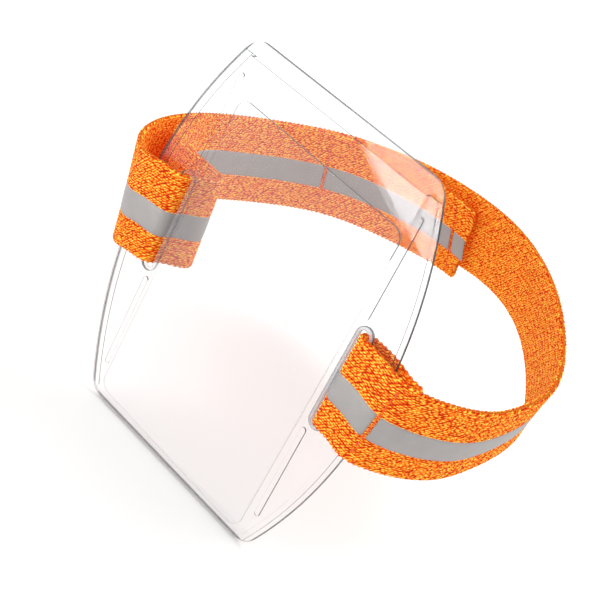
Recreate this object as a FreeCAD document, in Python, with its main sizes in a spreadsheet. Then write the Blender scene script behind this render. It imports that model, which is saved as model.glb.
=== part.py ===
"""Armband badge holder: a clear vinyl card pocket worn on the upper arm by an elastic strap.

Row frame, millimetres: +Z runs up the pocket, -Y is the pocket's outer face, and the arm's axis
passes through the origin along Z. Everything is drawn in the pocket's own plane and then moved
back by the cell arm_axis.
"""
import FreeCAD, Part
import math
import os

import Sketcher
from FreeCAD import Placement, Rotation, Vector

doc = FreeCAD.newDocument("armband_badge_holder")

# ---------------------------------------------------------------- driving dimensions
sheet = doc.addObject("Spreadsheet::Sheet", "Sheet")
DIMENSIONS = {
    "arm_axis": 50.0,  # from the pocket's plane back to the arm's axis
    "pocket_height": 102.0,
    "pocket_top_width": 60.0,
    "pocket_side_radius": 114.4,  # the barrel-shaped sides
    "pocket_corner_radius": 6.0,
    "vinyl": 0.4,  # one sheet of the pocket
    "front_top_drop": 4.0,  # the front sheet ends this far below the back one
    "weld_inset": 0.9,
    "weld_width": 1.0,
    "weld_height": 0.2,
    "window_width": 56.6,
    "window_foot": 1.5,  # from the pocket's bottom edge up to the window
    "card_gap": 1.5,  # room for a card between the sheets
    "rib_place": 29.1,  # centre line of the long side welds
    "rib_width": 1.5,
    "rib_length": 84.0,
    "slot_place": 30.8,
    "slot_width": 3.0,
    "slot_length": 26.6,
    "rim_width": 0.9,
    "rim_thickness": 1.5,
    "card_width": 54.0,
    "card_height": 85.6,
    "card_thickness": 0.76,
    "card_corner_radius": 3.18,
    "card_clearance": 0.3,  # between the card's foot and the pocket's bottom
    "card_turn": 0.8,  # degrees that the card has settled in its pocket
    "strap_width": 25.0,
    "strap_thickness": 1.3,
    "tape_width": 7.0,
    "tape_drop": 1.25,  # tape's centre below the strap's centre
    "tape_thickness": 0.2,
    "hook_thickness": 0.7,
    "stitch_length": 1.5,
    "stitch_diameter": 0.35,
}
for row, (alias, value) in enumerate(DIMENSIONS.items(), 1):
    sheet.set(f"A{row}", alias)
    sheet.set(f"B{row}", str(value))
    sheet.setAlias(f"B{row}", alias)
doc.recompute()


def size(alias):
    return float(sheet.get(alias))


# ---------------------------------------------------------------- sketch helpers
def new_body(name):
    body = doc.addObject("PartDesign::Body", name)
    body.Label = name
    body.setExpression("Placement.Base.y", "-Sheet.arm_axis")
    return body


def front_sketch(body, name, depth):
    """A sketch in the pocket's plane; depth is an expression for its place along +Y."""
    sketch = body.newObject("Sketcher::SketchObject", name)
    plane = next(o for o in body.Origin.OriginFeatures if o.Role == "XZ_Plane")
    sketch.AttachmentSupport = (plane, "")
    sketch.MapMode = "FlatFace"
    sketch.setExpression("AttachmentOffset.Base.z", f"-({depth})")
    return sketch


def bind(sketch, constraint, name, expression):
    index = sketch.addConstraint(constraint)
    sketch.renameConstraint(index, name)
    sketch.setExpression(f"Constraints.{name}", expression)


def draw_outline(sketch, inset="0"):
    """Straight top and bottom, sides bowed outwards, all moved in by inset."""
    half_width, half_height = size("pocket_top_width") / 2, size("pocket_height") / 2
    radius = size("pocket_side_radius")
    rise = math.asin(half_height / radius)
    centre = half_width - radius * math.cos(rise)
    up, axis = Vector(0, 0, 1), [Vector(centre, 0, 0), Vector(-centre, 0, 0)]
    corner = [Vector(-half_width, half_height), Vector(half_width, half_height)]
    corner += [Vector(half_width, -half_height), Vector(-half_width, -half_height)]
    sketch.addGeometry(Part.LineSegment(corner[0], corner[1]), False)
    sketch.addGeometry(Part.ArcOfCircle(Part.Circle(axis[0], up, radius), -rise, rise), False)
    sketch.addGeometry(Part.LineSegment(corner[2], corner[3]), False)
    turn = math.pi - rise, math.pi + rise
    sketch.addGeometry(Part.ArcOfCircle(Part.Circle(axis[1], up, radius), *turn), False)
    for first, second in (((0, 2), (1, 2)), ((1, 1), (2, 1)), ((2, 2), (3, 2)), ((3, 1), (0, 1))):
        sketch.addConstraint(Sketcher.Constraint("Coincident", *first, *second))
    sketch.addConstraint(Sketcher.Constraint("Symmetric", 0, 1, 0, 2, -2))
    sketch.addConstraint(Sketcher.Constraint("Symmetric", 0, 2, 2, 1, -1))
    sketch.addConstraint(Sketcher.Constraint("Symmetric", 0, 1, 2, 2, -1))
    sketch.addConstraint(Sketcher.Constraint("Equal", 1, 3))
    width = Sketcher.Constraint("DistanceX", 0, 1, 0, 2, 2 * half_width)
    bind(sketch, width, "top_width", f"Sheet.pocket_top_width - 2 * {inset}")
    height = Sketcher.Constraint("DistanceY", 2, 1, 0, 2, 2 * half_height)
    bind(sketch, height, "height", f"Sheet.pocket_height - 2 * {inset}")
    bind(sketch, Sketcher.Constraint("Radius", 1, radius), "side_radius", "Sheet.pocket_side_radius")


def draw_box(sketch, width, height, low):
    """A rectangle centred on X with its lower edge at low; all three are expressions."""
    corner = [Vector(-10, -10), Vector(10, -10), Vector(10, 10), Vector(-10, 10)]
    for k in range(4):
        sketch.addGeometry(Part.LineSegment(corner[k], corner[(k + 1) % 4]), False)
    for k in range(4):
        sketch.addConstraint(Sketcher.Constraint("Coincident", k, 2, (k + 1) % 4, 1))
    sketch.addConstraint(Sketcher.Constraint("Horizontal", 0))
    sketch.addConstraint(Sketcher.Constraint("Vertical", 1))
    sketch.addConstraint(Sketcher.Constraint("Vertical", 3))
    sketch.addConstraint(Sketcher.Constraint("Symmetric", 2, 1, 2, 2, -2))
    bind(sketch, Sketcher.Constraint("DistanceX", 0, 1, 0, 2, 20), "width", width)
    bind(sketch, Sketcher.Constraint("DistanceY", 1, 1, 1, 2, 20), "height", height)
    bind(sketch, Sketcher.Constraint("DistanceY", -1, 1, 0, 1, -10), "low", low)


def draw_slot(sketch, name, place, middle, width, length):
    """An upright slot with round ends: place is its X, middle its Z; all four are expressions."""
    first = sketch.GeometryCount
    for x, start, end in ((1, -5, 5), (-1, 5, -5)):
        sketch.addGeometry(Part.LineSegment(Vector(x, start), Vector(x, end)), False)
    for z, start, end in ((5, 0, math.pi), (-5, math.pi, 2 * math.pi)):
        circle = Part.Circle(Vector(0, z), Vector(0, 0, 1), 1)
        sketch.addGeometry(Part.ArcOfCircle(circle, start, end), False)
    side, other, top, foot = range(first, first + 4)
    for joint in ((side, 2, top, 1), (top, 2, other, 1), (other, 2, foot, 1), (foot, 2, side, 1)):
        sketch.addConstraint(Sketcher.Constraint("Tangent", *joint))
    sketch.addConstraint(Sketcher.Constraint("Vertical", side))
    sketch.addConstraint(Sketcher.Constraint("Equal", top, foot))
    radius = Sketcher.Constraint("Radius", top, 1)
    bind(sketch, radius, f"{name}_radius", f"({width}) / 2")
    straight = Sketcher.Constraint("DistanceY", foot, 3, top, 3, 10)
    bind(sketch, straight, f"{name}_straight", f"({length}) - ({width})")
    across = Sketcher.Constraint("DistanceX", -1, 1, foot, 3, 1)
    bind(sketch, across, f"{name}_place", place)
    low = Sketcher.Constraint("DistanceY", -1, 1, foot, 3, -5)
    bind(sketch, low, f"{name}_low", f"({middle}) - (({length}) - ({width})) / 2")


def pad(body, sketch, name, length):
    """Pads towards the front, -Y."""
    feature = body.newObject("PartDesign::Pad", name)
    feature.Profile = sketch
    feature.setExpression("Length", length)
    doc.recompute()
    return feature


def pocket(body, sketch, name, length=None, to_front=True):
    """Cuts towards the front, or through everything both ways when no length is given."""
    before = body.Shape.Volume
    feature = body.newObject("PartDesign::Pocket", name)
    feature.Profile = sketch
    if length:
        feature.setExpression("Length", length)
        feature.Reversed = to_front
    else:
        feature.Type = "ThroughAll"
        feature.Midplane = True
    doc.recompute()
    if not body.Shape.Volume < before - 0.01:
        raise RuntimeError(f"{name} cuts nothing")
    return feature


def round_upright_corners(body, name, radius, test):
    """Fillets the edges along Y whose place passes test."""
    tip = body.Tip
    edges = []
    for number, edge in enumerate(tip.Shape.Edges, 1):
        ends = [vertex.Point for vertex in edge.Vertexes]
        along = len(ends) == 2 and abs(ends[0].x - ends[1].x) + abs(ends[0].z - ends[1].z) < 1e-6
        if along and test(ends[0]):
            edges.append(f"Edge{number}")
    fillet = body.newObject("PartDesign::Fillet", name)
    fillet.Base = (tip, edges)
    fillet.setExpression("Radius", radius)
    doc.recompute()


SLOT = ("Sheet.slot_width", "Sheet.slot_length")
RING = ("Sheet.slot_width + 2 * Sheet.rim_width", "Sheet.slot_length + 2 * Sheet.rim_width")
SIDES = {"left": "-", "right": ""}


def cut_slots(body):
    """The sheets are cut to the outside of the rings that line the strap slots."""
    sketch = front_sketch(body, f"{body.Name}_slots", "0")
    for side, sign in SIDES.items():
        draw_slot(sketch, side, f"{sign}Sheet.slot_place", "0", *RING)
    pocket(body, sketch, f"{body.Name}_slot_cut")


# ---------------------------------------------------------------- pocket sheets
def make_back_sheet():
    body = new_body("back_sheet")
    outline = front_sketch(body, "back_outline", "Sheet.vinyl")
    draw_outline(outline)
    pad(body, outline, "back_panel", "Sheet.vinyl")
    round_upright_corners(body, "back_corners", "Sheet.pocket_corner_radius", lambda p: True)
    cut_slots(body)
    return body


def make_front_sheet():
    """The sheet that the card lies behind: its window stands forward of the welded edge."""
    body = new_body("front_sheet")
    outline = front_sketch(body, "front_outline", "0")
    draw_outline(outline)
    pad(body, outline, "front_panel", "Sheet.vinyl")
    low = -size("pocket_height") / 2 + 1
    round_upright_corners(body, "front_corners", "Sheet.pocket_corner_radius", lambda p: p.z < low)
    bead = front_sketch(body, "bead_outline", "-Sheet.vinyl")
    draw_outline(bead, "Sheet.weld_inset")
    pad(body, bead, "bead", "Sheet.weld_height")
    inside = front_sketch(body, "bead_inside", "-Sheet.vinyl - Sheet.weld_height")
    draw_outline(inside, "(Sheet.weld_inset + Sheet.weld_width)")
    pocket(body, inside, "bead_hollow", "Sheet.weld_height", to_front=False)
    window = front_sketch(body, "window_block", "-Sheet.vinyl")
    foot = "-Sheet.pocket_height / 2 + Sheet.window_foot"
    height = "Sheet.pocket_height - Sheet.window_foot"
    draw_box(window, "Sheet.window_width", height, foot)
    pad(body, window, "window_front", "Sheet.card_gap")
    hollow = front_sketch(body, "window_hollow", "0")
    draw_box(hollow, "Sheet.window_width - 2 * Sheet.vinyl", height, f"{foot} + Sheet.vinyl")
    pocket(body, hollow, "card_room", "Sheet.card_gap", to_front=True)
    ribs = front_sketch(body, "side_ribs", "-Sheet.vinyl")
    length = "(Sheet.rib_length - Sheet.slot_length) / 2 - 2"
    middle = "(Sheet.rib_length / 2 - (Sheet.rib_length - Sheet.slot_length) / 4 + 1)"
    for side, sign in SIDES.items():
        for end, up in (("low", "-"), ("high", "")):
            place = f"{sign}Sheet.rib_place"
            draw_slot(ribs, side + end, place, up + middle, "Sheet.rib_width", length)
    pad(body, ribs, "rib_beads", "Sheet.weld_height * 2")
    top = front_sketch(body, "open_mouth", "0")
    mouth = "Sheet.pocket_height / 2 - Sheet.front_top_drop"
    draw_box(top, "Sheet.pocket_top_width * 2", "Sheet.pocket_height / 4", mouth)
    pocket(body, top, "mouth_cut")
    cut_slots(body)
    return body


def make_slot_rim(side, sign):
    """The thick clear ring welded round a strap slot; it grips both sheets."""
    body = new_body(f"{side}_slot_rim")
    half = "Sheet.rim_thickness / 2"
    ring = front_sketch(body, f"{side}_ring", half)
    draw_slot(ring, "outer", f"{sign}Sheet.slot_place", "0", *RING)
    draw_slot(ring, "inner", f"{sign}Sheet.slot_place", "0", *SLOT)
    pad(body, ring, f"{side}_ring_pad", "Sheet.rim_thickness")
    return body


def make_card():
    """A blank clear card of the standard badge size, settled slightly askew in the pocket."""
    body = new_body("card_insert")
    middle = "Sheet.card_gap / 2 - Sheet.card_thickness / 2"
    outline = front_sketch(body, "card_outline", f"-({middle})")
    draw_box(outline, "Sheet.card_width", "Sheet.card_height", "-Sheet.card_height / 2")
    pad(body, outline, "card_pad", "Sheet.card_thickness")
    round_upright_corners(body, "card_corners", "Sheet.card_corner_radius", lambda p: True)
    turn = size("card_turn")
    body.Placement = Placement(Vector(0, 0, 0), Rotation(Vector(0, 1, 0), turn))
    reach = f"Sheet.card_height / 2 * cos({turn} * 1 deg) + Sheet.card_width / 2 * sin({turn} * 1 deg)"
    foot = "-Sheet.pocket_height / 2 + Sheet.window_foot + Sheet.vinyl + Sheet.card_clearance"
    body.setExpression("Placement.Base.y", "-Sheet.arm_axis")
    body.setExpression("Placement.Base.z", f"{foot} + {reach}")
    return body


# ---------------------------------------------------------------- strap
COARSEST_STEP, FINEST_STEP = 4.0, 0.1


class Ribbon:
    """A flat strap along a route. Each station gives the middle of the strap (x, y, z) and how
    far its upper edge leans along X and Y for each millimetre up."""

    def __init__(self, route):
        middles = [Vector(*station[:3]) for station in route]
        leans = [Vector(*station[3:], 1).normalize() for station in route]
        self.places = [0.0]
        for one, other in zip(middles, middles[1:]):
            step = math.hypot(other.x - one.x, other.y - one.y)
            self.places.append(self.places[-1] + step)
        self.middle = Part.BSplineCurve()
        self.middle.interpolate(Points=middles, Parameters=self.places)
        self.upper = Part.BSplineCurve()
        tips = [middle + lean for middle, lean in zip(middles, leans)]
        self.upper.interpolate(Points=tips, Parameters=self.places)

    def frame(self, place):
        """Middle, direction across the strap (up), and direction out of its taped face."""
        middle = self.middle.value(place)
        across = (self.upper.value(place) - middle).normalize()
        outward = self.middle.tangent(place)[0].cross(across).normalize()
        return middle, across, outward

    def point(self, place, up, out):
        middle, across, outward = self.frame(place)
        return middle + across * up + outward * out

    def nearest(self, x, y):
        steps = [self.places[-1] * k / 2000 for k in range(2001)]
        return min(steps, key=lambda s: math.hypot(*(self.middle.value(s) - Vector(x, y, 0))[:2]))

    def steps(self, start, end):
        """Places for the cross-sections, closer together where the stations are."""
        places = [start]
        for one, other in zip(self.places, self.places[1:]):
            count = 2 + int((other - one) / COARSEST_STEP)
            places += [one + (other - one) * k / count for k in range(count)]
        inside = [place for place in places if start + FINEST_STEP < place < end - FINEST_STEP]
        return [start] + inside + [end]

    def solid(self, start, end, low, high, inner, outer):
        """The strip between two places, from low to high across and inner to outer through."""
        places = self.steps(start, end)
        corners = ((low, inner), (high, inner), (high, outer), (low, outer), (low, inner))
        rings = [Part.makePolygon([self.point(s, *corner) for corner in corners]) for s in places]
        return Part.makeLoft(rings, True, True)


# x, y, z, lean x, lean y
BAND_ROUTE = [
    (46.6, 3.6, -1.9, 0.15, -0.04),  # sewn end, behind the front layer
    (44.2, 1.9, -1.4, 0.1, -0.02),
    (40.5, 1.75, -0.6, 0.03, 0),
    (33.5, 1.8, 0, 0, 0),
    (31.2, 1.3, 0, 0, 0),
    (30.6, 0, 0, 0, 0),  # fold in the right slot
    (31.2, -1.3, 0, 0, 0),
    (33.5, -1.8, 0, 0, 0),
    (37.5, -1.75, -0.4, 0.04, 0),
    (42.2, -1.75, -1.2, 0.12, -0.01),
    (47.5, 2.4, -2, 0.17, -0.05),
    (52.5, 9.5, -2.3, 0.2, -0.06),
    (56, 19, -2.3, 0.22, -0.1),
    (57, 30, -1.5, 0.23, -0.11),
    (56.5, 41, 0, 0.2, -0.12),
    (53.5, 52, 1.8, 0.1, -0.18),
    (42, 70, 4.9, -0.05, -0.2),
    (26.5, 86, 7.1, -0.12, -0.28),
    (8, 98, 7.7, -0.19, -0.34),
    (-13.5, 104, 5.4, -0.2, -0.3),
    (-35, 104, 1, -0.22, -0.1),
    (-55, 97, -3.7, -0.23, -0.04),
    (-67.5, 79, -7.2, -0.27, -0.02),
    (-73, 57.5, -8.8, -0.28, -0.01),
    (-69.5, 35, -8.2, -0.27, -0.01),
    (-58.2, 14.5, -5.5, -0.26, -0.01),
    (-49.5, 4, -3.2, -0.22, -0.01),
    (-42.5, -1.8, -1.3, -0.12, -0.01),
    (-36.5, -2.5, 0, -0.03, 0),
    (-33.2, -2.2, 0.2, 0, 0),
    (-31.35, -1.35, 0.3, 0, 0),  # turns into the left slot
    (-30.75, 0, 0.3, 0, 0),
    (-30.2, 1.8, 0.5, 0, 0),
    (-28.4, 4.4, 1, -0.02, 0),
    (-27.4, 7.4, 1, -0.06, 0),  # bulge behind the pocket
    (-28.6, 10.6, 0.6, -0.1, 0),
    (-33, 13, -0.2, -0.12, 0),
    (-40, 16, -1.6, -0.16, 0),
    (-50, 20.6, -3.8, -0.2, 0),
    (-57.5, 26, -5.6, -0.24, 0),  # free end's fold line
]
TAIL_LEAD = [
    (-57.5, 26, -5.6, -0.24, 0),
    (-61.5, 30.5, -6.5, -0.25, 0),
    (-65, 37, -7.4, -0.27, -0.01),
    (-67.8, 44.5, -8.1, -0.28, -0.01),
]
TAIL_START = (-72.6, 54)  # where the free end comes to lie along the band
TAIL_END = (-8.2, 103.1)
TAIL_STATIONS = 9
TAIL_SLIP = 3.4  # the free end's tip lies this much lower than the band
LAYER_GAP = 0.45
PATCH_GAP = 0.9
CREASE = 0.25  # each layer stops this far short of the free end's fold line
FOLD_STATION = 9  # the fold's stitches lie just past this station of the band
FOLD_STEP = 1.6
PATCH_ROW = (-55.4, 92)  # where the free end's rows of stitches lie
END_ROW = (-13.2, 101.9)
ROW_WIDTH = 1.0  # break in the tape at a row of stitches
TAPE_START = 3  # the tape comes out of the sewn fold at this station


def lie_along(band, start, end, slip, gaps):
    """Stations inside the band from one place to another, slipping down as they go."""
    stations = []
    for k in range(TAIL_STATIONS):
        share = k / (TAIL_STATIONS - 1)
        middle, across, outward = band.frame(start + (end - start) * share)
        gap = gaps[0] + (gaps[1] - gaps[0]) * min(1, 1.6 * share)
        place = middle - outward * (size("strap_thickness") + gap) - across * slip * share**4
        stations.append((*place, across.x / across.z, across.y / across.z))
    return stations


def strip(name, ribbon, *extent):
    """A strap-like piece as an object of its own."""
    piece = doc.addObject("Part::Feature", name)
    piece.Label = name
    piece.Shape = ribbon.solid(*extent)
    piece.Placement = Placement(Vector(0, -size("arm_axis"), 0), Rotation())
    return piece


def stitch_row(name, ribbon, place):
    """Short threads across the strap, lying on its taped face."""
    length, radius = size("stitch_length"), size("stitch_diameter") / 2
    pitch = length * 1.5
    count = int((size("strap_width") - 3) / pitch)
    out = size("strap_thickness") / 2 + radius + 0.05
    threads = []
    for k in range(count):
        low = (k - (count - 1) / 2) * pitch - length / 2
        foot, head = ribbon.point(place, low, out), ribbon.point(place, low + length, out)
        threads.append(Part.makeCylinder(radius, length, foot, head - foot))
    piece = doc.addObject("Part::Feature", name)
    piece.Label = name
    piece.Shape = Part.makeCompound(threads)
    piece.Placement = Placement(Vector(0, -size("arm_axis"), 0), Rotation())
    return piece


def make_strap():
    half, skin = size("strap_width") / 2, size("strap_thickness") / 2
    band = Ribbon(BAND_ROUTE)
    start, end = band.nearest(*TAIL_START), band.nearest(*TAIL_END)
    run = lie_along(band, start, end, TAIL_SLIP, (LAYER_GAP, PATCH_GAP + LAYER_GAP))
    tail = Ribbon(TAIL_LEAD + run)
    band_end, tail_end = band.places[-1] - CREASE, tail.places[-1]
    rows = {"fold": band.places[FOLD_STATION] + FOLD_STEP, "patch": tail.nearest(*PATCH_ROW)}
    rows["end"] = tail.nearest(*END_ROW)
    pieces = [strip("strap_band", band, 0, band_end, -half, half, -skin, skin)]
    pieces.append(strip("strap_tail", tail, CREASE, tail_end, -half, half, -skin, skin))
    tape_low = -size("tape_drop") - size("tape_width") / 2
    tape = (tape_low, tape_low + size("tape_width"))
    tape += (skin + 0.05, skin + 0.05 + size("tape_thickness"))
    before, after = -ROW_WIDTH / 2, ROW_WIDTH / 2
    for name, ribbon, first, last in (
        ("fold_tape", band, band.places[TAPE_START], rows["fold"] + before),
        ("loop_tape", band, rows["fold"] + after, band_end),
        ("tail_tape", tail, CREASE, rows["patch"] + before),
        ("patch_tape", tail, rows["patch"] + after, rows["end"] + before),
        ("end_tape", tail, rows["end"] + after, tail_end),
    ):
        pieces.append(strip(name, ribbon, first, last, *tape))
    hook = (rows["patch"], rows["end"] + 2, -half + 1.5, half - 1.5)
    hook += (-skin - 0.05 - size("hook_thickness"), -skin - 0.05)
    pieces.append(strip("hook_patch", tail, *hook))
    pieces.append(stitch_row("fold_stitches", band, rows["fold"]))
    pieces.append(stitch_row("patch_stitches", tail, rows["patch"]))
    pieces.append(stitch_row("end_stitches", tail, rows["end"]))
    print("band length", round(band.middle.length(0, band_end), 1))
    print("tail length", round(tail.middle.length(CREASE, tail_end), 1))
    middle, across, outward = band.frame(band.places[-1])
    pivot = middle + outward * (skin + 0.3)
    print("crease at", pivot, "along", across)
    return pieces


# ---------------------------------------------------------------- build, check and write
nodes = [make_back_sheet(), make_front_sheet(), make_card()]
nodes += [make_slot_rim(side, sign) for side, sign in SIDES.items()]
nodes += make_strap()
doc.recompute()

faults = [o.Name for o in doc.Objects if "Invalid" in o.State or "Error" in o.State]
faults += [n.Label for n in nodes if n.Shape.isNull() or not n.Shape.isValid()]
if faults:
    raise RuntimeError(f"these did not build: {faults}")

os.makedirs("parts", exist_ok=True)
for node in nodes:
    node.Shape.exportStep(f"parts/{node.Label}.step")
    print(f"{node.Label}: {len(node.Shape.Solids)} solid(s), {node.Shape.Volume:.1f} mm3")
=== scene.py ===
"""Looks of the armband badge holder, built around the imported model.

The strap's route and the pocket are in millimetres from the middle of the pocket, as in the
part's own source: x to the right, y back from the plane where the pocket's sheets meet, z up.
"""
import math

import bmesh
import bpy
import numpy as np
from mathutils import Matrix, Vector


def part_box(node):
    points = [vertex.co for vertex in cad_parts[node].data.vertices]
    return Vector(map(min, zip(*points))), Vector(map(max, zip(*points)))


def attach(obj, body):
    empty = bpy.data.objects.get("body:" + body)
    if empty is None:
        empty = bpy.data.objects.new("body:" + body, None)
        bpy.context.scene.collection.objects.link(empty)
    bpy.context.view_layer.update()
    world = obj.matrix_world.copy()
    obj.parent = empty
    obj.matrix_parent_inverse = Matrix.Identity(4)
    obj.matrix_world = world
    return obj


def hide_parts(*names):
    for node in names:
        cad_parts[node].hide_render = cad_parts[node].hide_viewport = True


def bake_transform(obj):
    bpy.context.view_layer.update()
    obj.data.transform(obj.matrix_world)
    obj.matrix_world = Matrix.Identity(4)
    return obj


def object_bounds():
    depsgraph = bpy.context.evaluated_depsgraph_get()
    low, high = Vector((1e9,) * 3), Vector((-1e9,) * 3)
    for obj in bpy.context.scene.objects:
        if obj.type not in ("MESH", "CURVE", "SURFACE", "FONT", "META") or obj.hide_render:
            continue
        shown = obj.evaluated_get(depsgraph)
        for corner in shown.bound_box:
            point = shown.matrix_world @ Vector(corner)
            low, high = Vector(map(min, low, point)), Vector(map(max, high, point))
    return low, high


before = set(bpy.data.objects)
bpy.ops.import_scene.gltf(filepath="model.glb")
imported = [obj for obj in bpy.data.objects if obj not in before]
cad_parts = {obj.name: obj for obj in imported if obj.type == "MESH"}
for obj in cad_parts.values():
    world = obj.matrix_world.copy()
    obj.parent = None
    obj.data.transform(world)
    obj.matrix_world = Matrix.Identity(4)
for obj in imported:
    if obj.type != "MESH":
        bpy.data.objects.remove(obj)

CAD_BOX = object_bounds()
MM = 0.001
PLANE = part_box("back_sheet")[0].y  # where the pocket's two sheets meet

# ---------------------------------------------------------------- strap route
# x, y, z, lean x, lean y: the middle of the strap, and how its upper edge leans
BAND_ROUTE = [
    (46.6, 3.6, -1.9, 0.15, -0.04),  # sewn end, behind the front layer
    (44.2, 1.9, -1.4, 0.1, -0.02),
    (40.5, 1.75, -0.6, 0.03, 0),
    (33.5, 1.8, 0, 0, 0),
    (31.2, 1.3, 0, 0, 0),
    (30.6, 0, 0, 0, 0),  # fold in the right slot
    (31.2, -1.3, 0, 0, 0),
    (33.5, -1.8, 0, 0, 0),
    (37.5, -1.75, -0.4, 0.04, 0),
    (42.2, -1.75, -1.2, 0.12, -0.01),
    (47.5, 2.4, -2, 0.17, -0.05),
    (52.5, 9.5, -2.3, 0.2, -0.06),
    (56, 19, -2.3, 0.22, -0.1),
    (57, 30, -1.5, 0.23, -0.11),
    (56.5, 41, 0, 0.2, -0.12),
    (53.5, 52, 1.8, 0.1, -0.18),
    (42, 70, 4.9, -0.05, -0.2),
    (26.5, 86, 7.1, -0.12, -0.28),
    (8, 98, 7.7, -0.19, -0.34),
    (-13.5, 104, 5.4, -0.2, -0.3),
    (-35, 104, 1, -0.22, -0.1),
    (-55, 97, -3.7, -0.23, -0.04),
    (-67.5, 79, -7.2, -0.27, -0.02),
    (-73, 57.5, -8.8, -0.28, -0.01),
    (-69.5, 35, -8.2, -0.27, -0.01),
    (-58.2, 14.5, -5.5, -0.26, -0.01),
    (-49.5, 4, -3.2, -0.22, -0.01),
    (-42.5, -1.8, -1.3, -0.12, -0.01),
    (-36.5, -2.5, 0, -0.03, 0),
    (-33.2, -2.2, 0.2, 0, 0),
    (-31.35, -1.35, 0.3, 0, 0),  # turns into the left slot
    (-30.75, 0, 0.3, 0, 0),
    (-30.2, 1.8, 0.5, 0, 0),
    (-28.4, 4.4, 1, -0.02, 0),
    (-27.4, 7.4, 1, -0.06, 0),  # bulge behind the pocket
    (-28.6, 10.6, 0.6, -0.1, 0),
    (-33, 13, -0.2, -0.12, 0),
    (-40, 16, -1.6, -0.16, 0),
    (-50, 20.6, -3.8, -0.2, 0),
    (-57.5, 26, -5.6, -0.24, 0),  # free end's fold line
]
TAIL_LEAD = [
    (-57.5, 26, -5.6, -0.24, 0),
    (-61.5, 30.5, -6.5, -0.25, 0),
    (-65, 37, -7.4, -0.27, -0.01),
    (-67.8, 44.5, -8.1, -0.28, -0.01),
]
TAIL_START = (-72.6, 54)  # where the free end comes to lie along the band
TAIL_END = (-8.2, 103.1)
TAIL_STATIONS = 9
TAIL_SLIP = 3.4  # how far the cut end has slipped down the band
LAYER_GAP = 0.45  # between the free end and the band at the fold
PATCH_GAP = 0.9  # added to it where the hook patch lies between
PATCH_GROWTH = 1.6  # how soon that gap is reached, in shares of the free end
TAPE_STATION = 3  # the tape comes out of the sewn fold at this station
FOLD_STATION = 9  # the fold's stitches lie just past this one
FOLD_STEP = 1.6
PATCH_ROW = (-55.4, 92)  # the stitch row at the near edge of the hook patch
END_ROW = (-13.2, 101.9)  # the stitch row near the cut end
ROW_WIDTH = 1.0  # the gap that a stitch row leaves in the tape

STRAP_WIDTH, STRAP_THICKNESS = 25.0, 1.3
TAPE_WIDTH, TAPE_THICKNESS = 7.0, 0.2
TAPE_DROP = 1.25  # how far the tape's middle lies below the strap's
ROUTE_SAMPLES = 6000
HEADING_REACH = 0.02  # half the step that the strap's heading is taken over


class Spline:
    """A natural cubic spline through values at the given places."""

    def __init__(self, places, values):
        x, y = np.asarray(places, float), np.asarray(values, float)
        gap = np.diff(x)
        system, right = np.eye(len(x)), np.zeros_like(y)
        for k in range(1, len(x) - 1):
            system[k, k - 1:k + 2] = gap[k - 1], 2 * (gap[k - 1] + gap[k]), gap[k]
            right[k] = 6 * ((y[k + 1] - y[k]) / gap[k] - (y[k] - y[k - 1]) / gap[k - 1])
        self.x, self.y, self.gap = x, y, gap
        self.bend = np.linalg.solve(system, right)

    def __call__(self, place):
        place = np.atleast_1d(np.asarray(place, float))
        k = np.clip(np.searchsorted(self.x, place) - 1, 0, len(self.gap) - 1)
        gap = self.gap[k][:, None]
        done, left = (place - self.x[k])[:, None], (self.x[k + 1] - place)[:, None]
        first, last = self.bend[k], self.bend[k + 1]
        line = (self.y[k] / gap - first * gap / 6) * left
        line += (self.y[k + 1] / gap - last * gap / 6) * done
        return line + (first * left**3 + last * done**3) / (6 * gap)


def unit(vectors):
    return vectors / np.linalg.norm(vectors, axis=-1, keepdims=True)


class Ribbon:
    """A flat strap along a route; distances along it are true lengths in millimetres."""

    def __init__(self, route):
        route = np.array(route, float)
        steps = np.hypot(*np.diff(route[:, :2], axis=0).T)
        self.stations = np.concatenate(([0], np.cumsum(steps)))
        leans = unit(np.column_stack((route[:, 3:], np.ones(len(route)))))
        self.middle = Spline(self.stations, route[:, :3])
        self.lean = Spline(self.stations, leans)
        self.fine = np.linspace(0, self.stations[-1], ROUTE_SAMPLES)
        runs = np.linalg.norm(np.diff(self.middle(self.fine), axis=0), axis=1)
        self.run = np.concatenate(([0], np.cumsum(runs)))
        self.length = self.run[-1]

    def nearest(self, x, y):
        """Station value of the point of the route nearest to x, y."""
        away = np.hypot(*(self.middle(self.fine)[:, :2] - (x, y)).T)
        return self.fine[np.argmin(away)]

    def distance(self, station):
        return float(np.interp(station, self.fine, self.run))

    def station(self, distance):
        inside = np.interp(distance, self.run, self.fine)
        past = np.maximum(0, distance - self.length) + np.minimum(0, distance)
        return inside + past

    def frames(self, station):
        """Middles, directions across (up) and directions out of the taped face."""
        ahead, behind = station + HEADING_REACH, station - HEADING_REACH
        along = unit(self.middle(ahead) - self.middle(behind))
        across = unit(self.lean(station))
        outward = unit(np.cross(along, across))
        return self.middle(station), across, outward


def lie_along(band, start, end):
    """The free end's stations inside the band, slipping down a little as they go."""
    stations = []
    for k in range(TAIL_STATIONS):
        share = k / (TAIL_STATIONS - 1)
        middle, across, outward = (a[0] for a in band.frames(start + (end - start) * share))
        gap = LAYER_GAP + PATCH_GAP * min(1, PATCH_GROWTH * share)
        place = middle - outward * (STRAP_THICKNESS + gap) - across * TAIL_SLIP * share**4
        stations.append((*place, across[0] / across[2], across[1] / across[2]))
    return stations


BAND = Ribbon(BAND_ROUTE)
TAIL = Ribbon(TAIL_LEAD + lie_along(BAND, BAND.nearest(*TAIL_START), BAND.nearest(*TAIL_END)))
FOLD_AT = BAND.distance(BAND.stations[FOLD_STATION] + FOLD_STEP)
PATCH_AT = TAIL.distance(TAIL.nearest(*PATCH_ROW))
END_AT = TAIL.distance(TAIL.nearest(*END_ROW))


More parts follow.
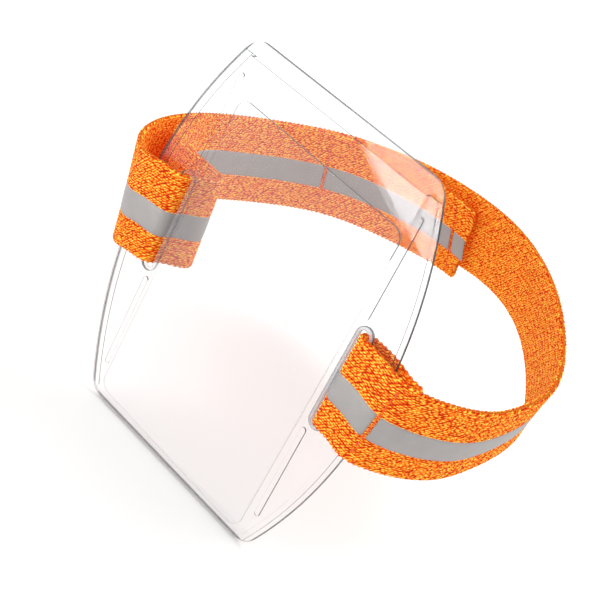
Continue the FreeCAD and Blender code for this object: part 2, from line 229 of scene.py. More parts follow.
# ---------------------------------------------------------------- mesh helpers
def link(name, data):
    """A new object in the scene."""
    made = bpy.data.objects.new(name, data)
    bpy.context.scene.collection.objects.link(made)
    return made


def shade_smooth(mesh):
    mesh.polygons.foreach_set("use_smooth", [True] * len(mesh.polygons))


def new_object(name, points, faces):
    """A smooth closed piece from points in millimetres, with its faces turned outwards."""
    mesh = bpy.data.meshes.new(name)
    mesh.from_pydata((np.asarray(points) * MM + (0, PLANE, 0)).tolist(), [], faces)
    work = bmesh.new()
    work.from_mesh(mesh)
    bmesh.ops.recalc_face_normals(work, faces=work.faces)
    work.to_mesh(mesh)
    work.free()
    shade_smooth(mesh)
    mesh.update()
    return link(name, mesh)


def tube_faces(columns, ring):
    """Quads of a closed tube of rings, flattened shut at both ends."""
    faces = []
    for c in range(columns - 1):
        one, other = c * ring, (c + 1) * ring
        faces += [(one + k, one + (k + 1) % ring, other + (k + 1) % ring, other + k)
                  for k in range(ring)]
    half = ring // 2
    last = (columns - 1) * ring
    for k in range(half - 1):
        twin = ring - 1 - k
        faces.append((k, twin, twin - 1, k + 1))
        faces.append((last + k, last + k + 1, last + twin - 1, last + twin))
    return faces


def set_map(piece, values):
    """A UV map of u, v given at each vertex."""
    layer = piece.data.uv_layers.new(name="lay")
    corner = np.zeros(len(piece.data.loops), int)
    piece.data.loops.foreach_get("vertex_index", corner)
    layer.data.foreach_set("uv", np.asarray(values, np.float32)[corner].ravel())


def noise(u, v, seed):
    """Smooth noise from a few waves, about -1 to 1."""
    total = np.zeros(np.broadcast(u, v).shape)
    for k in range(1, 5):
        turn = seed * 1.7 + k * 2.4
        total += np.sin(k * 0.9 * (u * np.cos(turn) + v * np.sin(turn)) + seed * k) / k
    return total / 2


# ---------------------------------------------------------------- knitted strap
LOOP_PITCH, LOOP_ROW = 1.36, 0.79  # spacing of the pile's loops along and across the strap
LOOP_SLANT = 0.12  # how far each row of loops drifts, beyond half a loop, in loops
LOOP_OFFSET = 0.2  # of the pile's tops from the lattice's points, in loops
LOOP_FALL = 0.36  # the square of a loop's radius, in loops
GRID_ALONG, GRID_ROWS = LOOP_PITCH / 4, 81
RELIEF = 0.3  # height of the pile
EDGE_RELIEF, EDGE_BAND = 0.5, 1.2  # depth and width of the scalloped selvedge
SKIN_DROP = 0.12  # how far the ground cloth lies under the strap's full thickness
EDGE_INSET = 0.45  # from the selvedge to the outermost row of the grid
ROW_PINCH, ROW_REACH = 0.28, 0.5  # depth and half width of the dent along a stitch row
END_RADIUS = 1.6  # of the corners at a cut end
END_THIN, END_SLOPE = 0.35, 0.6  # share of thickness left at a cut end, and its run
SHEAR_RUN = 14  # the slanted cut fades out over this much of the free end
BACK_ROWS = 60  # keeps the two faces' patterns apart in the map
TAPED_SEED, BACK_SEED = 1, 5


def lattice(u, v, seed, hand):
    """Places counted in loops along the strap and in rows across it, a little uneven."""
    uneven = 0.2 * noise(u * 0.7, v * 0.9, seed) + 0.1 * noise(u * 2.3, v * 2.6, seed + 5)
    row = (v + 0.12 * noise(u * 0.9, v * 0.7, seed + 3)) / LOOP_ROW
    return (u + uneven) / LOOP_PITCH - hand * (0.5 + LOOP_SLANT) * row, row


def pile(loop, row):
    """Height of the looped pile: 0 in the gaps, 1 on top of a loop."""
    along = loop - LOOP_OFFSET - np.round(loop - LOOP_OFFSET)
    over = row - LOOP_OFFSET - np.round(row - LOOP_OFFSET)
    return np.clip(1 - (along**2 + over**2) / LOOP_FALL, 0, 1)


def strap_ring():
    """Once round the strap's section: v, out, and which way the pile stands."""
    half, skin = STRAP_WIDTH / 2, STRAP_THICKNESS / 2 - SKIN_DROP
    rows = np.linspace(-half + EDGE_INSET, half - EDGE_INSET, GRID_ROWS)
    side = half - SKIN_DROP
    v = np.concatenate((rows, [side, side], rows[::-1], [-side, -side]))
    edge = [skin * 0.5, -skin * 0.5]
    out = np.concatenate(([skin] * GRID_ROWS, edge, [-skin] * GRID_ROWS, edge[::-1]))
    turn_v = np.concatenate((np.zeros(GRID_ROWS), [1, 1], np.zeros(GRID_ROWS), [-1, -1]))
    turn_out = np.concatenate(([1] * GRID_ROWS, [0.4, -0.4], [-1] * GRID_ROWS, [-0.4, 0.4]))
    order = np.roll(np.arange(len(v)), 1)
    return v[order], out[order], turn_v[order], turn_out[order]


def corner_share(left, radius):
    """How much the half width loses at a distance from a cut end with round corners."""
    inside = np.clip(radius - left, 0, radius)
    return radius - np.sqrt(radius**2 - inside**2)


def make_strap(name, ribbon, start, end, first, rows, shear=0.0, tape=(), closed=(True, True)):
    """The pile-faced strap from one distance to another. first is the distance that the pile's
    pattern starts from, rows the distances of sewn lines, shear the slant of the last cut, tape
    the taped stretches, and closed says which ends are cut."""
    count = int(round((end - start) / GRID_ALONG)) + 1
    u = np.linspace(start, end, count)[:, None]
    v, out, turn_v, turn_out = strap_ring()
    half = STRAP_WIDTH / 2
    shift = first + u - start
    taped = turn_out > 0
    faces = lattice(shift, v, TAPED_SEED, 1), lattice(shift, v, BACK_SEED, -1)
    loop, row = (np.where(taped, one, other) for one, other in zip(*faces))
    heights = pile(loop, row)
    edge = np.abs(turn_v) > 0
    near_edge = np.clip((np.abs(v) - half + EDGE_BAND) / EDGE_BAND, 0, 1) ** 2
    selvedge = 0.5 + 0.5 * np.cos(2 * math.pi * (shift / LOOP_PITCH + 0.25 * np.sign(v)))
    heights = np.where(edge, 0.3 + 0.7 * selvedge, heights)
    swell = EDGE_RELIEF * (selvedge - 0.4) * near_edge
    lift = heights * np.where(edge, 0, RELIEF)
    low = -TAPE_DROP - TAPE_WIDTH / 2
    under = (v > low) & (v < low + TAPE_WIDTH) & taped
    for one, other in tape:
        lift = np.where(under & (u > one) & (u < other), 0.02, lift)
    pinch = sum(np.exp(-((u - place) / ROW_REACH) ** 2) for place in rows)
    thin = np.ones_like(u)
    narrow = np.zeros_like(u)
    for is_cut, left in zip(closed, (u - start, end - u)):
        if is_cut:
            thin *= np.clip(END_THIN + left / END_SLOPE, 0, 1)
            narrow += corner_share(left, END_RADIUS)
    depth = out * thin - ROW_PINCH * pinch * np.sign(out)
    side = v * (half - narrow) / half + np.sign(v) * swell
    depth = depth + turn_out * lift
    fade = np.clip((u - end + SHEAR_RUN) / SHEAR_RUN, 0, 1) ** 2
    stations = ribbon.station((u + shear * fade * v).ravel())
    middle, across, outward = (a.reshape(count, len(v), 3) for a in ribbon.frames(stations))
    points = middle + across * side[..., None] + outward * depth[..., None]
    piece = new_object(name, points.reshape(-1, 3), tube_faces(count, len(v)))
    places = np.stack((loop, row + BACK_ROWS * (turn_out < 0)), -1)
    set_map(piece, places.reshape(-1, 2))
    layer = piece.data.attributes.new("pile", "FLOAT", "POINT")
    layer.data.foreach_set("value", heights.astype(np.float32).ravel())
    return piece


# ---------------------------------------------------------------- tape and stitches
TAPE_STEP, TAPE_ROWS = 0.45, 15
TAPE_SINK = 0.06  # how far the tape is pressed into the strap
END_DIP, END_DIP_REACH = 0.12, 0.5  # the tape's dip at its sewn ends
SIDE_DIP = 0.1
TAPE_CROWN, TAPE_WAVES, TAPE_SWAY = 0.05, 0.035, 0.05
END_ROUNDING, END_TAPER = 0.4, 0.12  # run and slope of the narrowing at the tape's ends
THREADS, THREAD_PITCH, THREAD_LENGTH, THREAD_RADIUS = 9, 2.25, 1.7, 0.2
THREAD_SIDES, THREAD_STEPS = 8, 9
THREAD_SINK, THREAD_RISE, THREAD_SWAY = 0.1, 0.28, 0.06
HOOK_INSET, HOOK_BACKING, HOOK_STEP = 1.5, 0.3, 0.8
HOOK_PITCH_ALONG, HOOK_PITCH_ACROSS, HOOK_LEAN = 1.1, 1.25, 0.22
# each ring of a hook: its height, its share of the lean and half its width
HOOK_RISE = ((0, 0, 0.16), (0.22, 0, 0.12), (0.34, 1, 0.12), (0.26, 1.8, 0.07))


def make_tape(name, ribbon, start, end):
    """The reflective tape: a thin, slightly crowned strip that dips at its sewn ends."""
    count = int((end - start) / TAPE_STEP) + 2
    u = np.linspace(start, end, count)[:, None]
    half = TAPE_WIDTH / 2
    rows = np.linspace(-half, half, TAPE_ROWS)
    v = np.concatenate((rows, rows[::-1]))
    share = v / half
    top = np.array([1] * TAPE_ROWS + [0] * TAPE_ROWS)
    left = np.minimum(u - start, end - u)
    dip = END_DIP * np.exp(-(left / END_DIP_REACH) ** 2) + SIDE_DIP * np.abs(share) ** 8
    swell = TAPE_WAVES * noise(u * 0.5, v * 0.4, 7) + TAPE_CROWN * (1 - share**2)
    base = STRAP_THICKNESS / 2 - TAPE_SINK + swell - dip
    depth = base + TAPE_THICKNESS * top * (1 - 0.5 * np.abs(share) ** 12)
    round_off = 1 - np.clip(END_ROUNDING - left, 0, END_ROUNDING) * END_TAPER
    side = v * round_off - TAPE_DROP + TAPE_SWAY * noise(u * 0.35, 0 * v, 11)
    stations = ribbon.station(np.broadcast_to(u, depth.shape).ravel())
    middle, across, outward = (a.reshape(count, len(v), 3) for a in ribbon.frames(stations))
    points = middle + across * side[..., None] + outward * depth[..., None]
    piece = new_object(name, points.reshape(-1, 3), tube_faces(count, len(v)))
    set_map(piece, np.stack(np.broadcast_arrays(u, v + 0 * u), -1).reshape(-1, 2))
    return piece


def make_stitches(name, ribbon, distance):
    """A row of short threads across the strap, each dipping into it at both ends."""
    sides, steps = THREAD_SIDES, THREAD_STEPS
    points, faces = [], []
    middle, across, outward = (a[0] for a in ribbon.frames(ribbon.station(np.array([distance]))))
    along = np.cross(across, outward)
    for k in range(THREADS):
        centre = (k - (THREADS - 1) / 2) * THREAD_PITCH
        base = len(points)
        for s in range(steps):
            share = s / (steps - 1) * 2 - 1
            bow = math.sqrt(max(0.0, 1 - share**2))
            thick = THREAD_RADIUS * (0.35 + 0.65 * bow)
            up = centre + share * THREAD_LENGTH / 2
            out = STRAP_THICKNESS / 2 - THREAD_SINK + THREAD_RISE * bow
            sway = THREAD_SWAY * math.sin(5 * k + share)
            for q in range(sides):
                turn = 2 * math.pi * q / sides
                points.append(middle + across * up + along * (sway + thick * math.cos(turn))
                              + outward * (out + thick * math.sin(turn)))
        for s in range(steps - 1):
            one, other = base + s * sides, base + (s + 1) * sides
            faces += [(one + q, one + (q + 1) % sides, other + (q + 1) % sides, other + q)
                      for q in range(sides)]
        faces.append(tuple(base + q for q in reversed(range(sides))))
        faces.append(tuple(base + (steps - 1) * sides + q for q in range(sides)))
    return new_object(name, points, faces)


def make_hook_patch(name, ribbon, start, end):
    """The hook half of the fastener: a thin backing with rows of small bent hooks."""
    half, back = STRAP_WIDTH / 2 - HOOK_INSET, -STRAP_THICKNESS / 2 - 0.1
    count = int((end - start) / HOOK_STEP) + 2
    u = np.linspace(start, end, count)[:, None]
    rows = np.linspace(-half, half, 12)
    v = np.concatenate((rows, rows[::-1]))
    depth = np.concatenate(([back - HOOK_BACKING] * 12, [back] * 12))
    depth = np.broadcast_to(depth, (count, 24))
    stations = ribbon.station(np.broadcast_to(u, depth.shape).ravel())
    middle, across, outward = (a.reshape(count, 24, 3) for a in ribbon.frames(stations))
    points = (middle + across * v[None, :, None] + outward * depth[..., None]).reshape(-1, 3)
    points, faces = list(points), tube_faces(count, 24)
    for place in np.arange(start + 0.8, end - 0.6, HOOK_PITCH_ALONG):
        mid, over, out = (a[0] for a in ribbon.frames(ribbon.station(np.array([place]))))
        along = np.cross(over, out)
        for k, up in enumerate(np.arange(-half + 0.7, half - 0.5, HOOK_PITCH_ACROSS)):
            lean = HOOK_LEAN if k % 2 else -HOOK_LEAN
            base = len(points)
            for rise, slide, wide in HOOK_RISE:
                foot = mid + over * up + along * slide * lean + out * (back - 0.28 - rise)
                for turn in range(4):
                    angle = math.pi / 4 + turn * math.pi / 2
                    points.append(foot + over * wide * math.cos(angle)
                                  + along * wide * math.sin(angle))
            for s in range(3):
                one, other = base + 4 * s, base + 4 * s + 4
                faces += [(one + (q + 1) % 4, one + q, other + q, other + (q + 1) % 4)
                          for q in range(4)]
            faces.append(tuple(base + q for q in range(4)))
            faces.append(tuple(base + 12 + q for q in reversed(range(4))))
    return new_object(name, points, faces)


def make_slot_rim(name, node):
    """A rounded clear ring along a stadium, sized from the CAD ring's box."""
    low, high = (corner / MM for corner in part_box(node))
    wide, tall, deep = high.x - low.x, high.z - low.z, high.y - low.y
    width = 0.9
    radius = wide / 2 - width / 2
    straight = (tall - wide) / 2
    centre = Vector(((low.x + high.x) / 2, 0, (low.z + high.z) / 2))
    path = []
    turns = 14
    for side in (1, -1):
        for k in range(turns + 1):
            angle = math.pi * (k / turns) + (0 if side > 0 else math.pi)
            ray = Vector((math.cos(angle), 0, math.sin(angle)))
            path.append((centre + ray * radius + Vector((0, 0, side * straight)), ray))
    section = 16
    points, faces = [], []
    for place, ray in path:
        for k in range(section):
            angle = 2 * math.pi * k / section
            c, s = math.cos(angle), math.sin(angle)
            c = math.copysign(abs(c) ** 0.55, c) * width / 2
            s = math.copysign(abs(s) ** 0.55, s) * deep / 2
            points.append(place + ray * c + Vector((0, s, 0)))
    count = len(path)
    for p in range(count):
        one, other = p * section, (p + 1) % count * section
        faces += [(one + k, one + (k + 1) % section, other + (k + 1) % section, other + k)
                  for k in range(section)]
    return new_object(name, points, faces)


# ---------------------------------------------------------------- materials
def new_material(name):
    material = bpy.data.materials.new(name)
    material.use_nodes = True
    tree = material.node_tree
    tree.nodes.clear()
    output = tree.nodes.new("ShaderNodeOutputMaterial")
    return material, tree, output


def node(tree, kind, inputs=(), **settings):
    """A new node; inputs pairs a socket with a number, a colour or another node's output."""
    made = tree.nodes.new(kind)
    for key, value in settings.items():
        setattr(made, key, value)
    for key, value in dict(inputs).items():
        if isinstance(value, bpy.types.NodeSocket):
            tree.links.new(value, made.inputs[key])
        else:
            made.inputs[key].default_value = value
    return made


def ramp(tree, factor, stops):
    made = node(tree, "ShaderNodeValToRGB", {"Fac": factor})
    while len(made.color_ramp.elements) < len(stops):
        made.color_ramp.elements.new(0.5)
    for element, (position, colour) in zip(made.color_ramp.elements, stops):
        element.position = position
        element.color = (*colour, 1)
    return made.outputs["Color"]


def math_node(tree, operation, *values):
    made = node(tree, "ShaderNodeMath", dict(enumerate(values)), operation=operation)
    return made.outputs[0]


PAINTED_GLOW = (1.0, 0.07, 0.002, 1)  # painted red glow, not a lamp, which lifts the knit's shadows to red


def knit_material():
    """Fluorescent orange looped pile with random fibre tone, painted shade deep red between the
    loops, a painted yellow highlight on top of them and a painted red glow.
    """
    material, tree, output = new_material("orange_knit")
    lay = node(tree, "ShaderNodeUVMap", uv_map="lay").outputs["UV"]
    height = node(tree, "ShaderNodeAttribute", attribute_name="pile").outputs["Fac"]
    loops = node(tree, "ShaderNodeTexVoronoi", {"Vector": lay, "Scale": 1.4,
                                                "Randomness": 0.5},
                 voronoi_dimensions="2D")
    fibre = node(tree, "ShaderNodeTexNoise", {"Vector": lay, "Scale": 4.5, "Detail": 3.0},
                 noise_dimensions="2D")
    blotch = node(tree, "ShaderNodeTexNoise", {"Vector": lay, "Scale": 0.35, "Detail": 2.0},
                  noise_dimensions="2D")
    own = node(tree, "ShaderNodeSeparateColor", {"Color": loops.outputs["Color"]}).outputs[0]
    level = math_node(tree, "SUBTRACT", 0.78, loops.outputs["Distance"])
    level = math_node(tree, "MULTIPLY_ADD", height, 0.15, level)
    level = math_node(tree, "MULTIPLY_ADD", own, 0.15, level)
    level = math_node(tree, "MULTIPLY_ADD", fibre.outputs["Fac"], 0.75, level)
    level = math_node(tree, "MULTIPLY_ADD", blotch.outputs["Fac"], 0.15, level)
    level = math_node(tree, "SUBTRACT", level, 0.53)
    # painted shade deep red in the gaps between loops and painted highlight yellow on the loop
    # tops, mixed with random fibre and blotch tone
    colour = ramp(tree, level, [(0.19, (0.27, 0.002, 0.0)), (0.34, (0.74, 0.04, 0.0)),
                                (0.47, (0.86, 0.16, 0.001)), (0.58, (0.9, 0.36, 0.006)),
                                (0.7, (0.97, 0.86, 0.12))])
    bump = node(tree, "ShaderNodeBump", {"Height": level, "Strength": 1.0, "Distance": 0.0004})
    shader = node(tree, "ShaderNodeBsdfPrincipled", {
        "Base Color": colour, "Roughness": 0.75, "Specular IOR Level": 0.12,
        # painted red glow on the knit, standing in for light in its shadows
        "Emission Color": PAINTED_GLOW, "Emission Strength": 0.25, "Sheen Weight": 0.03,
        "Sheen Roughness": 0.4, "Sheen Tint": (1.0, 0.6, 0.2, 1),
        "Normal": bump.outputs[0]})
    tree.links.new(shader.outputs[0], output.inputs["Surface"])
    return material


def tape_material():
    """Grey glass-bead reflective tape, pale and bluish along both long edges."""
    material, tree, output = new_material("reflective_tape")
    lay = node(tree, "ShaderNodeUVMap", uv_map="lay").outputs["UV"]
    across = node(tree, "ShaderNodeSeparateXYZ", {"Vector": lay}).outputs["Y"]
    share = math_node(tree, "DIVIDE", math_node(tree, "ABSOLUTE", across), TAPE_WIDTH / 2)
    beads = node(tree, "ShaderNodeTexVoronoi", {"Vector": lay, "Scale": 9.0},
                 voronoi_dimensions="2D")
    cloud = node(tree, "ShaderNodeTexNoise", {"Vector": lay, "Scale": 0.3, "Detail": 3.0},
                 noise_dimensions="2D")
    grain = math_node(tree, "MULTIPLY_ADD", beads.outputs["Distance"], 0.35, 0.3)
    grain = math_node(tree, "MULTIPLY_ADD", cloud.outputs["Fac"], 0.25, grain)
    body = ramp(tree, grain, [(0.3, (0.265, 0.25, 0.243)), (0.8, (0.365, 0.345, 0.337))])
    edge = math_node(tree, "GREATER_THAN", share, 0.955)
    colour = node(tree, "ShaderNodeMix", {"Factor": edge, 6: body, 7: (0.42, 0.55, 0.62, 1)},
                  data_type="RGBA").outputs[2]
    bump = node(tree, "ShaderNodeBump", {"Height": beads.outputs["Distance"], "Strength": 0.25,
                                         "Distance": 0.00005})
    shader = node(tree, "ShaderNodeBsdfPrincipled", {
        "Base Color": colour, "Metallic": 0.1, "Roughness": 0.55, "Normal": bump.outputs[0]})
    tree.links.new(shader.outputs[0], output.inputs["Surface"])
    return material


WINDOW_HALF = 0.02836  # the window's side walls lie inside this
CUT_LOW, CUT_HIGH = -0.0499, 0.04685  # beyond these heights every wall is a cut edge and gets the painted dark edge shade
POCKET_HALF, SIDE_RADIUS = 0.051, 0.1144  # half the pocket's height, radius of its bowed sides
BAND_SHADE = 0.58  # painted shade: how dark each face is painted right beside its cut edge
RIM_BAND = 0.00038  # width of that painted dark line
MIRROR, HAZE = 0.012, 0.009  # least share of mirror and share of milkiness on the faces
SIDE_CENTRE = math.sqrt(SIDE_RADIUS**2 - POCKET_HALF**2) - 0.03  # of the right side, leftwards


def vinyl_material(name, from_outside, from_inside, low=CUT_LOW, high=CUT_HIGH,
                   half=WINDOW_HALF, rim_band=0.0, elsewhere=0.0):
    """Clear film: see-through with a weak mirror on its faces. Its cut edges get painted dark
    shade by the share from_outside, or from_inside where they are seen through the film. Walls
    closer to the middle than half, between the low and high heights, have only the share
    elsewhere of that. rim_band is the width of the painted dark line on the faces along the
    pocket's outline."""
    material, tree, output = new_material(name)
    geometry = node(tree, "ShaderNodeNewGeometry")
    facing = node(tree, "ShaderNodeSeparateXYZ", {"Vector": geometry.outputs["True Normal"]})
    flat = math_node(tree, "ABSOLUTE", facing.outputs["Y"])
    wall = node(tree, "ShaderNodeMapRange", {"Value": flat, "From Min": 0.8, "From Max": 0.4})
    place = node(tree, "ShaderNodeTexCoord").outputs["Object"]
    spot = node(tree, "ShaderNodeSeparateXYZ", {"Vector": place})
    sideways = math_node(tree, "ABSOLUTE", spot.outputs["X"])
    outside = math_node(tree, "GREATER_THAN", sideways, half)
    above = math_node(tree, "GREATER_THAN", spot.outputs["Z"], high)
    below = math_node(tree, "LESS_THAN", spot.outputs["Z"], low)
    edge_shade_here = math_node(tree, "MAXIMUM", math_node(tree, "MAXIMUM", above, below), outside)
    edge_shade_here = math_node(tree, "MAXIMUM", edge_shade_here, elsewhere)
    edge_shade_share = math_node(tree, "MULTIPLY", wall.outputs[0], edge_shade_here)
    ripple = node(tree, "ShaderNodeTexNoise", {"Vector": place, "Scale": 28.0, "Detail": 1.0})
    bump = node(tree, "ShaderNodeBump", {"Height": ripple.outputs["Fac"], "Strength": 0.06,
                                         "Distance": 0.002})
    path = node(tree, "ShaderNodeLightPath")
    lighting = math_node(tree, "MAXIMUM", path.outputs["Is Shadow Ray"],
                         path.outputs["Is Diffuse Ray"])
    seen = node(tree, "ShaderNodeBsdfTransparent", {"Color": (0.986, 0.988, 0.99, 1)})
    shaded = node(tree, "ShaderNodeBsdfTransparent", {"Color": (0.87, 0.87, 0.87, 1)})
    clear = node(tree, "ShaderNodeMixShader", {0: lighting, 1: seen.outputs[0],
                                               2: shaded.outputs[0]})
    gloss = node(tree, "ShaderNodeBsdfGlossy", {"Color": (1, 1, 1, 1), "Roughness": 0.02,
                                                "Normal": bump.outputs[0]})
    grazing = node(tree, "ShaderNodeLayerWeight", {"Blend": 0.5}).outputs["Facing"]
    sheen = math_node(tree, "MULTIPLY_ADD", math_node(tree, "POWER", grazing, 4.0), 0.35, MIRROR)
    open_face = math_node(tree, "SUBTRACT", 1.0, wall.outputs[0])
    amount = math_node(tree, "MULTIPLY", sheen, open_face)
    film = node(tree, "ShaderNodeMixShader", {0: amount, 1: clear.outputs[0],
                                              2: gloss.outputs[0]})
    milk = node(tree, "ShaderNodeBsdfDiffuse", {"Color": (0.95, 0.96, 0.97, 1)})
    film = node(tree, "ShaderNodeMixShader", {0: HAZE, 1: film.outputs[0],
                                              2: milk.outputs[0]})
    shade = math_node(tree, "MULTIPLY_ADD", geometry.outputs["Backfacing"],
                      from_inside - from_outside, from_outside)
    # painted shade: a near-black surface on the cut-edge walls stands in for the dark look of
    # light bent through them
    cut = node(tree, "ShaderNodeBsdfPrincipled", {"Base Color": (0.03, 0.036, 0.042, 1),
                                                  "Roughness": 0.25})
    edge = node(tree, "ShaderNodeMixShader", {0: shade, 1: clear.outputs[0],
                                              2: cut.outputs[0]})
    whole = node(tree, "ShaderNodeMixShader", {0: edge_shade_share, 1: film.outputs[0],
                                               2: edge.outputs[0]})
    # painted shade: a dark line painted on the faces along the pocket's outline
    if rim_band:
        reach = math_node(tree, "ADD", sideways, SIDE_CENTRE)
        away = math_node(tree, "SQRT", math_node(
            tree, "ADD", math_node(tree, "POWER", reach, 2.0),
            math_node(tree, "POWER", spot.outputs["Z"], 2.0)))
        side_band = math_node(tree, "GREATER_THAN", away, SIDE_RADIUS - rim_band)
        height = math_node(tree, "ABSOLUTE", spot.outputs["Z"])
        end_band = math_node(tree, "GREATER_THAN", height, POCKET_HALF - rim_band)
        band = math_node(tree, "MAXIMUM", side_band, end_band)
        band = math_node(tree, "MULTIPLY", band, BAND_SHADE)
        whole = node(tree, "ShaderNodeMixShader", {0: band, 1: whole.outputs[0],
                                                   2: cut.outputs[0]})
    tree.links.new(whole.outputs[0], output.inputs["Surface"])
    return material


def rim_material(name, least, most):
    """The thick clear ring: pale grey, glossy, with painted shade darker towards its outline."""
    material, tree, output = new_material(name)
    grazing = node(tree, "ShaderNodeLayerWeight", {"Blend": 0.35})
    # painted shade: pale grey where the ring faces out, dark where it turns away
    colour = ramp(tree, grazing.outputs["Facing"], [(0.2, (0.7, 0.72, 0.75)),
                                                    (0.75, (0.12, 0.14, 0.16))])
    solid = node(tree, "ShaderNodeBsdfPrincipled", {"Base Color": colour, "Roughness": 0.12})
    clear = node(tree, "ShaderNodeBsdfTransparent", {"Color": (0.96, 0.97, 0.98, 1)})
    amount = node(tree, "ShaderNodeMapRange", {"Value": grazing.outputs["Facing"],
                                               "To Min": least, "To Max": most})
    whole = node(tree, "ShaderNodeMixShader", {0: amount.outputs[0], 1: clear.outputs[0],
                                               2: solid.outputs[0]})
    tree.links.new(whole.outputs[0], output.inputs["Surface"])
    return material


def thread_material():
    """Twisted orange sewing thread."""
    material, tree, output = new_material("orange_thread")
    place = node(tree, "ShaderNodeTexCoord").outputs["Object"]
    twist = node(tree, "ShaderNodeTexWave", {"Vector": place, "Scale": 900.0,
                                             "Distortion": 1.5}, bands_direction="DIAGONAL")
    colour = ramp(tree, twist.outputs["Fac"], [(0.1, (0.62, 0.035, 0.002)),
                                               (0.9, (0.95, 0.13, 0.01))])
    bump = node(tree, "ShaderNodeBump", {"Height": twist.outputs["Fac"], "Strength": 0.5,
                                         "Distance": 0.0001})
    shader = node(tree, "ShaderNodeBsdfPrincipled", {"Base Color": colour, "Roughness": 0.55,
                                                     "Normal": bump.outputs[0]})
    tree.links.new(shader.outputs[0], output.inputs["Surface"])
    return material


def hook_material():
    """Moulded orange plastic, a little cloudy."""
    material, tree, output = new_material("orange_hooks")
    place = node(tree, "ShaderNodeTexCoord").outputs["Object"]
    cloud = node(tree, "ShaderNodeTexNoise", {"Vector": place, "Scale": 700.0, "Detail": 2.0})
    colour = ramp(tree, cloud.outputs["Fac"], [(0.3, (0.78, 0.13, 0.01)),
                                               (0.7, (0.93, 0.23, 0.02))])
    shader = node(tree, "ShaderNodeBsdfPrincipled", {"Base Color": colour, "Roughness": 0.45})
    tree.links.new(shader.outputs[0], output.inputs["Surface"])
    return material


def floor_material():
    """Matt near-white paper."""
    material, tree, output = new_material("pale_floor")
    shader = node(tree, "ShaderNodeBsdfPrincipled", {"Base Color": (0.9, 0.9, 0.9, 1),
                                                     "Roughness": 0.9,
                                                     "Specular IOR Level": 0.1})
    tree.links.new(shader.outputs[0], output.inputs["Surface"])
    return material


def dress(piece, material):
    piece.data.materials.clear()
    piece.data.materials.append(material)


# ---------------------------------------------------------------- pieces
KNIT, TAPE, THREAD = knit_material(), tape_material(), thread_material()
CREASE_RUN = 7.0  # length of strap that bends as the free end peels
TAIL_SHEAR = 0.19  # slant of the free end's cut
HOOKS_PAST_ROW = 2  # how far the hook patch goes on past the last stitch row


def add(piece, material, body, node_name):
    """Gives a piece its material and slot, hides the CAD node that it stands for, and hangs it
    on its body if one is named.
    """
    dress(piece, material)
    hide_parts(node_name)
    if body:
        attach(piece, body)
    return piece


def crease_points():
    """Where the free end starts to leave the band, and where it is wholly free."""
    middle = TAIL.frames(TAIL.station(np.array([0.0, CREASE_RUN])))[0]
    return [Vector(point) * MM + Vector((0, PLANE, 0)) for point in middle]


def build_strap():
    tape_from = BAND.distance(BAND.stations[TAPE_STATION])
    before, after = -ROW_WIDTH / 2, ROW_WIDTH / 2
    band_tape = [(tape_from, FOLD_AT + before), (FOLD_AT + after, BAND.length)]
    tail_tape = [(0, PATCH_AT + before), (PATCH_AT + after, END_AT + before),
                 (END_AT + after, TAIL.length)]
    band = make_strap("strap_band_cloth", BAND, 0, BAND.length, 0, [FOLD_AT],
                      tape=band_tape, closed=(True, False))
    add(band, KNIT, "holder", "strap_band")
    tail = make_strap("strap_tail_cloth", TAIL, 0, TAIL.length, BAND.length,
                      [PATCH_AT, END_AT], shear=TAIL_SHEAR, tape=tail_tape,
                      closed=(False, True))
    add(tail, KNIT, None, "strap_tail")
    start, end = crease_points()
    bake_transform(tail)

    band_pieces, tail_pieces = [], []
    for node_name, (one, other) in zip(("fold_tape", "loop_tape"), band_tape):
        piece = make_tape(node_name + "_strip", BAND, one, other)
        band_pieces.append(add(piece, TAPE, "holder", node_name))
    for node_name, (one, other) in zip(("tail_tape", "patch_tape", "end_tape"), tail_tape):
        piece = make_tape(node_name + "_strip", TAIL, one, other)
        body = None if node_name == "tail_tape" else "free_end"
        tail_pieces.append(add(piece, TAPE, body, node_name))
    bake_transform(tail_pieces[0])
    piece = make_stitches("fold_threads", BAND, FOLD_AT)
    band_pieces.append(add(piece, THREAD, "holder", "fold_stitches"))
    for name, place in (("patch", PATCH_AT), ("end", END_AT)):
        piece = make_stitches(name + "_threads", TAIL, place)
        tail_pieces.append(add(piece, THREAD, "free_end", name + "_stitches"))
    hooks = make_hook_patch("hook_fastener", TAIL, PATCH_AT, END_AT + HOOKS_PAST_ROW)
    tail_pieces.append(add(hooks, hook_material(), "free_end", "hook_patch"))


def soften(name, node_name, width):
    """The CAD solid's shape with its sharp edges rounded off."""
    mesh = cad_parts[node_name].data.copy()
    mesh.materials.clear()
    work = bmesh.new()
    work.from_mesh(mesh)
    bmesh.ops.remove_doubles(work, verts=work.verts, dist=1e-6)
    bmesh.ops.dissolve_limit(work, angle_limit=math.radians(1.0), verts=work.verts,
                             edges=work.edges)
    work.to_mesh(mesh)
    work.free()
    piece = link(name, mesh)
    shade_smooth(mesh)
    mesh.set_sharp_from_angle(angle=math.radians(30))
    rounding = piece.modifiers.new("rounding", "BEVEL")
    rounding.width = width
    rounding.segments = 2
    rounding.limit_method = "ANGLE"
    rounding.angle_limit = math.radians(35)
    rounding.harden_normals = True
    return piece


RIM_SHARES = (("left", 0.03, 0.42), ("right", 0.45, 0.95))  # least and most opaque share; the right ring is made far more solid than the left, a painted shade difference between two alike clear rings


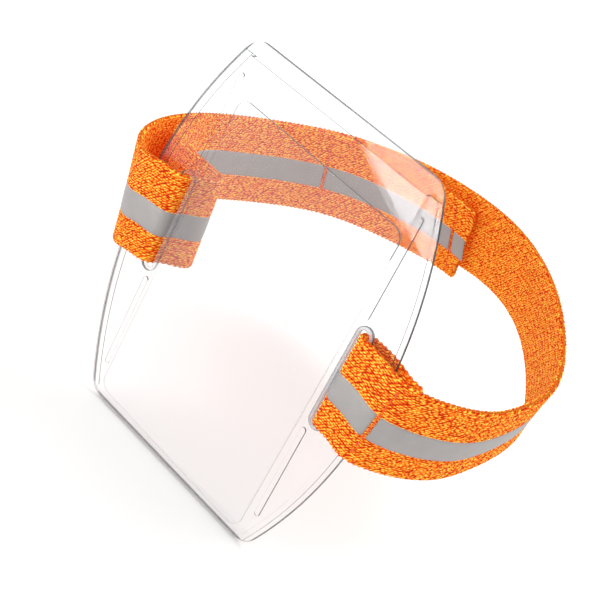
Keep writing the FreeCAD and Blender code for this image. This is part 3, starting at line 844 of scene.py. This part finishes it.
def build_pocket():
    # each sheet gets its own painted dark edge shade; the back film also gets the painted dark
    # outline line
    back_look = vinyl_material("clear_back", 0.97, 0.35, rim_band=RIM_BAND)
    front_look = vinyl_material("clear_front", 0.95, 0.45)
    # the card's painted dark edge shade is full only above 30 mm, on its top edge, and 0.3 of it
    # elsewhere
    card_look = vinyl_material("clear_card", 0.75, 0.4, low=-1, high=0.03, half=1,
                               elsewhere=0.3)
    sheets = [("back_film", "back_sheet", 0.1, back_look),
              ("front_film", "front_sheet", 0.1, front_look),
              ("clear_badge", "card_insert", 0.12, card_look)]
    for name, node_name, rounding, look in sheets:
        body = "card" if node_name == "card_insert" else "holder"
        add(soften(name, node_name, rounding * MM), look, body, node_name)
    for side, least, most in RIM_SHARES:
        ring = make_slot_rim(f"{side}_slot_ring", f"{side}_slot_rim")
        look = rim_material(f"clear_{side}_rim", least, most)
        add(ring, look, "holder", f"{side}_slot_rim")


# ---------------------------------------------------------------- stage, light and camera
FLOOR_SIZE, FLOOR_GAP = 6.0, 0.0004
EYE = (0.1628, -0.3044, 0.1447)
EYE_RIGHT, EYE_BACK = (0.659, 0.619, 0.426), (0.463, -0.781, 0.420)
FOCAL_LENGTH = 87.15


def build_floor():
    size, low = FLOOR_SIZE, CAD_BOX[0][2] - FLOOR_GAP
    mesh = bpy.data.meshes.new("floor")
    corners = [(-size, -size, low), (size, -size, low), (size, size, low), (-size, size, low)]
    mesh.from_pydata(corners, [], [(0, 1, 2, 3)])
    floor = link("floor", mesh)
    dress(floor, floor_material())


def add_light(name, place, target, size, energy, roll=0.0):
    """A white rectangular light at a place, turned to face the target."""
    light = bpy.data.lights.new(name, "AREA")
    light.shape = "RECTANGLE"
    light.size, light.size_y = size
    light.energy = energy
    lamp = link(name, light)
    aim = (Vector(target) - Vector(place)).to_track_quat("-Z", "Y").to_matrix().to_4x4()
    lamp.matrix_world = Matrix.Translation(place) @ aim @ Matrix.Rotation(roll, 4, "Z")
    return lamp


def build_lights():
    add_light("top_softbox", (0.12, 0.5, 0.75), (0, 0, 0), (0.6, 0.6), 3.4)
    add_light("key_softbox", (-0.5, -0.75, 0.55), (0, 0, 0), (0.4, 0.4), 2.6)
    add_light("back_softbox", (0.6, 0.7, 0.5), (0, 0.03, 0), (0.5, 0.5), 0.8)
    panel = add_light("glare_panel", (-0.055, -0.2, 0.0005), (-0.055, 0.0, 0.0005),
                      (0.095, 0.045), 0.15, roll=math.radians(-25.4))
    panel.visible_camera = False
    panel.visible_diffuse = False
    world = bpy.data.worlds.new("studio")
    world.use_nodes = True
    back = world.node_tree.nodes["Background"]
    back.inputs["Color"].default_value = (1, 1, 1, 1)
    back.inputs["Strength"].default_value = 1.06
    bpy.context.scene.world = world


def build_camera():
    camera = bpy.data.cameras.new("camera")
    camera.sensor_fit = "HORIZONTAL"
    camera.sensor_width = 36.0
    camera.lens = FOCAL_LENGTH
    camera.clip_start = 0.01
    eye = link("camera", camera)
    right, back = Vector(EYE_RIGHT).normalized(), Vector(EYE_BACK).normalized()
    up = back.cross(right).normalized()
    right = up.cross(back)
    turn = Matrix((right, up, back)).transposed().to_4x4()
    eye.matrix_world = Matrix.Translation(Vector(EYE)) @ turn
    bpy.context.scene.camera = eye


build_camera()
build_strap()
build_pocket()
build_floor()
build_lights()
bpy.context.scene.view_settings.view_transform = "Standard"
bpy.context.scene.cycles.transparent_max_bounces = 24
